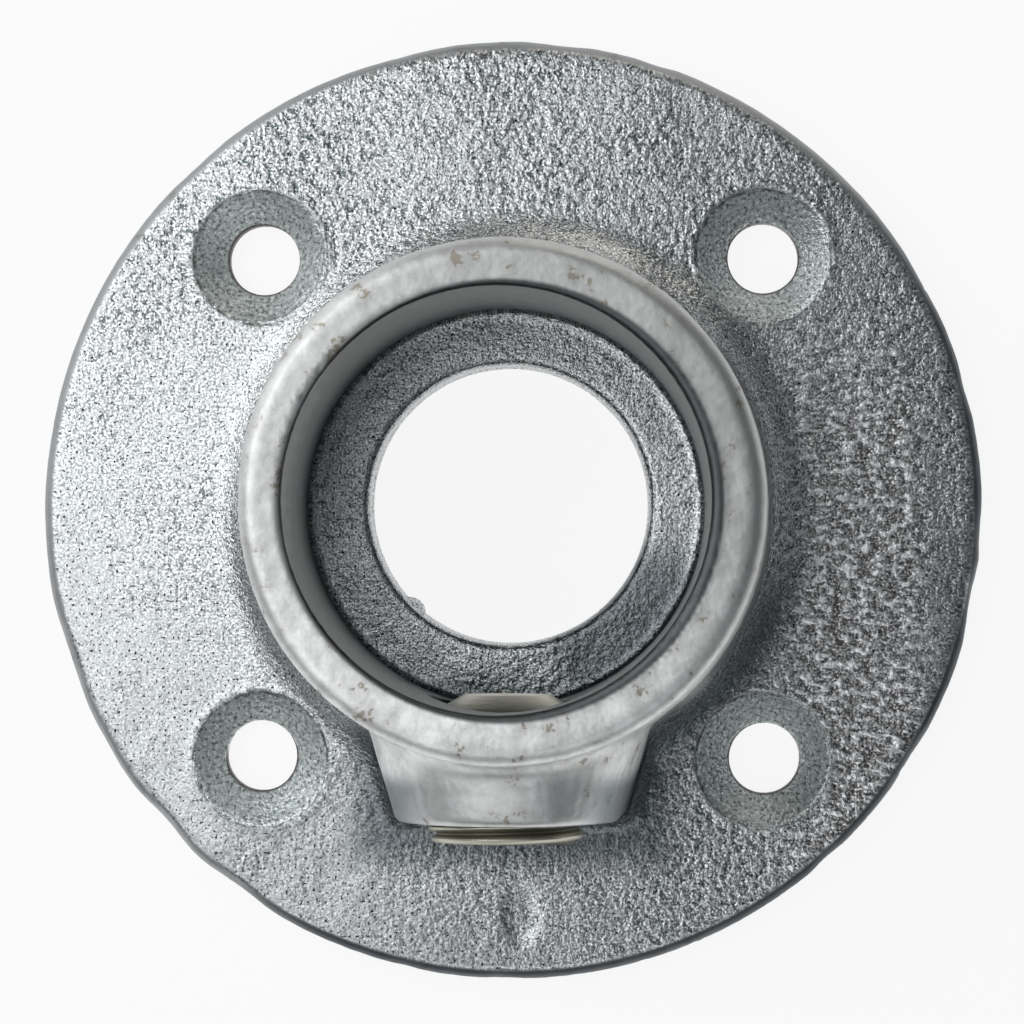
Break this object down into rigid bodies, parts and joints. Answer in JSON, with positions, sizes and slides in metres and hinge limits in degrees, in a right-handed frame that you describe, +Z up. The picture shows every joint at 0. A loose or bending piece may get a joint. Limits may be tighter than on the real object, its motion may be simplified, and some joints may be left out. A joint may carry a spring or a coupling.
{
  "type": "tube clamp base flange",
  "caption": "Round cast flange with an upright tube socket, countersunk fixing holes and a set screw that grips the tube.",
  "frame": {"origin": "centre of the flange's mounting face", "axes": "+Z up the tube's axis, out of the socket's mouth; the set screw and its boss are on the -Y side"},
  "size_m": [0.104, 0.104, 0.045],
  "materials": {
    "galvanised_iron": "hot-dip galvanised sand casting",
    "plated_steel": "zinc plated"
  },
  "bodies": {
    "casting": {"flange_casting": "galvanised_iron"},
    "screw": {"set_screw": "plated_steel"}
  },
  "joints": [
    {"name": "set_screw_travel", "type": "slide", "parent": "casting", "child": "screw", "axis": [0, 1, 0], "range_m": [-0.00802, 0.00401]}
  ]
}
